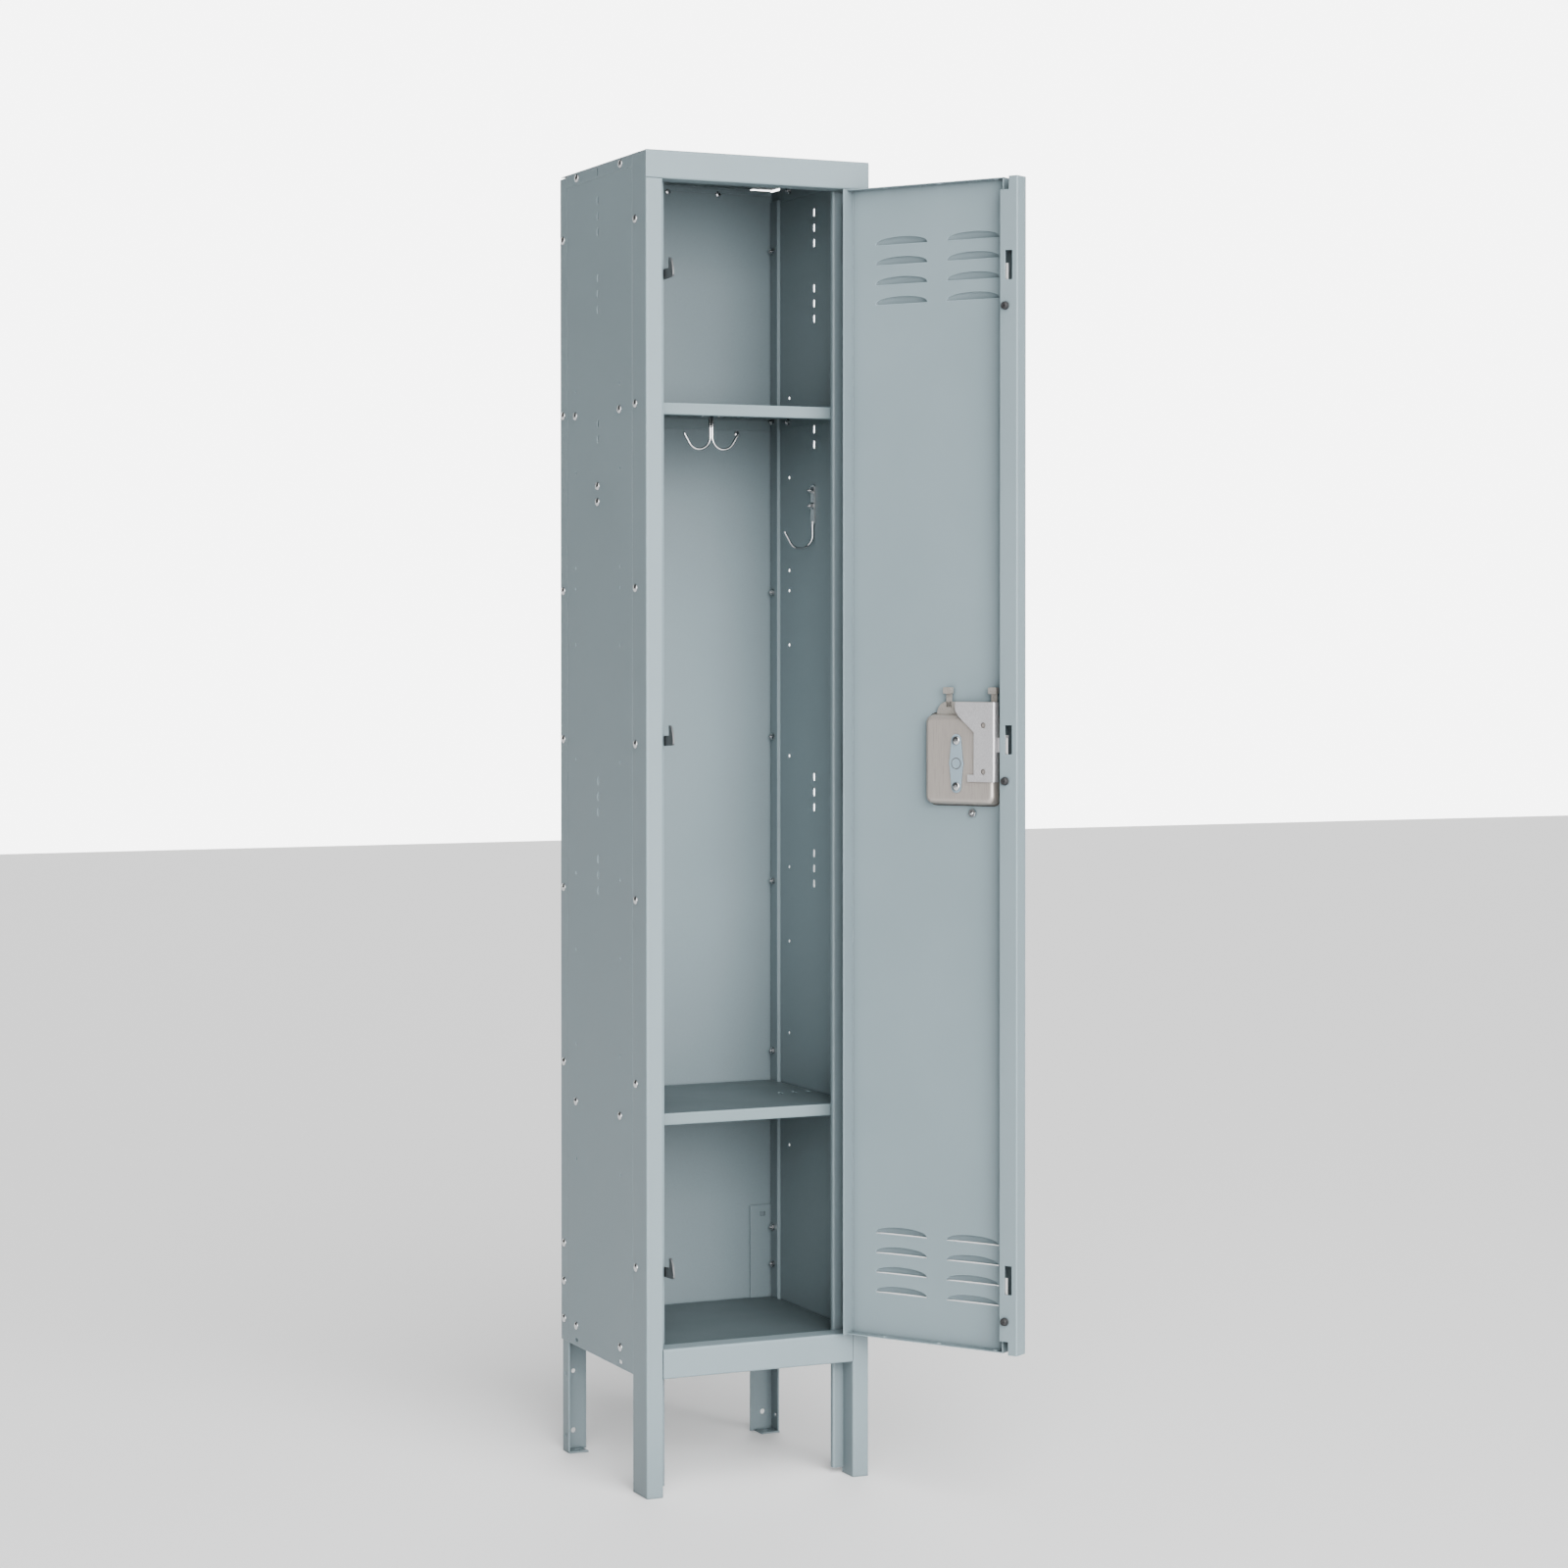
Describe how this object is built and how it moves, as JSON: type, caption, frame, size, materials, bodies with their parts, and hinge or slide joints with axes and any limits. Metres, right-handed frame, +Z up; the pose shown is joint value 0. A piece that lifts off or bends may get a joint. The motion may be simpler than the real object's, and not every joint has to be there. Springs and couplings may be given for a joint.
{
  "type": "locker cabinet",
  "caption": "Tall narrow sheet-steel locker on four legs, with a hinged louvred door, lift latch, shelves and coat hooks.",
  "frame": {"origin": "front left bottom corner of the cabinet, at floor level", "axes": "+X to the right along the front, +Y towards the back, +Z up"},
  "size_m": [0.4141, 0.5363, 1.6764],
  "materials": {
    "cabinet_paint": "light blue-grey baked enamel, satin",
    "door_paint": "light blue-grey baked enamel, satin",
    "shelf_paint": "light blue-grey baked enamel, satin",
    "cover_paint": "blue-grey enamel, satin",
    "hinge_paint": "blue-grey enamel over steel",
    "zinc_steel": "zinc plated",
    "dark_steel": "dark plated steel",
    "chrome": "bright plated",
    "stainless_cup": "brushed stainless steel",
    "latch_steel": "plated steel, grey",
    "bumper_rubber": "black rubber"
  },
  "bodies": {
    "cabinet": {"left_front_post": "cabinet_paint", "right_front_post": "cabinet_paint", "header_rail": "cabinet_paint", "bottom_rail": "cabinet_paint", "left_side_panel": "cabinet_paint", "right_side_panel": "cabinet_paint", "back_panel": "cabinet_paint", "top_panel": "cabinet_paint", "bottom_panel": "shelf_paint", "upper_shelf": "shelf_paint", "lower_shelf": "shelf_paint", "rear_left_leg": "cabinet_paint", "rear_right_leg": "cabinet_paint", "upper_strike_hook": "dark_steel", "middle_strike_hook": "dark_steel", "lower_strike_hook": "dark_steel", "left_wall_hook": "chrome", "right_wall_hook": "chrome", "shelf_double_hook": "chrome", "upper_hinge_frame_leaf": "hinge_paint", "middle_hinge_frame_leaf": "hinge_paint", "lower_hinge_frame_leaf": "hinge_paint", "upper_hinge_pin": "zinc_steel", "middle_hinge_pin": "zinc_steel", "lower_hinge_pin": "zinc_steel"},
    "door": {"door_panel": "door_paint", "upper_hinge_door_leaf": "hinge_paint", "middle_hinge_door_leaf": "hinge_paint", "lower_hinge_door_leaf": "hinge_paint", "handle_cup": "stainless_cup", "lock_hole_cover": "cover_paint", "upper_cover_screw": "chrome", "lower_cover_screw": "chrome", "cup_nut": "zinc_steel", "cup_bolt": "zinc_steel", "upper_door_bumper": "bumper_rubber", "middle_door_bumper": "bumper_rubber", "lower_door_bumper": "bumper_rubber"},
    "finger_lift": {"finger_lift": "stainless_cup", "latch_plate": "latch_steel"},
    "lock_bar": {"lock_bar": "latch_steel"}
  },
  "joints": [
    {"name": "door_swing", "type": "hinge", "parent": "cabinet", "child": "door", "pos_m": [0.28045, -0.0033, 0.913], "axis": [0, 0, 1], "range_deg": [-122.5, 57.5]},
    {"name": "finger_lift_slide", "type": "slide", "parent": "door", "child": "finger_lift", "axis": [0, 0, 1], "range_m": [0, 0.0125]},
    {"name": "lock_bar_slide", "type": "slide", "parent": "door", "child": "lock_bar", "axis": [0, 0, 1], "range_m": [0, 0.0125]}
  ],
  "couplings": [
    {"joint": "lock_bar_slide", "follows": "finger_lift_slide", "ratio": 1}
  ]
}
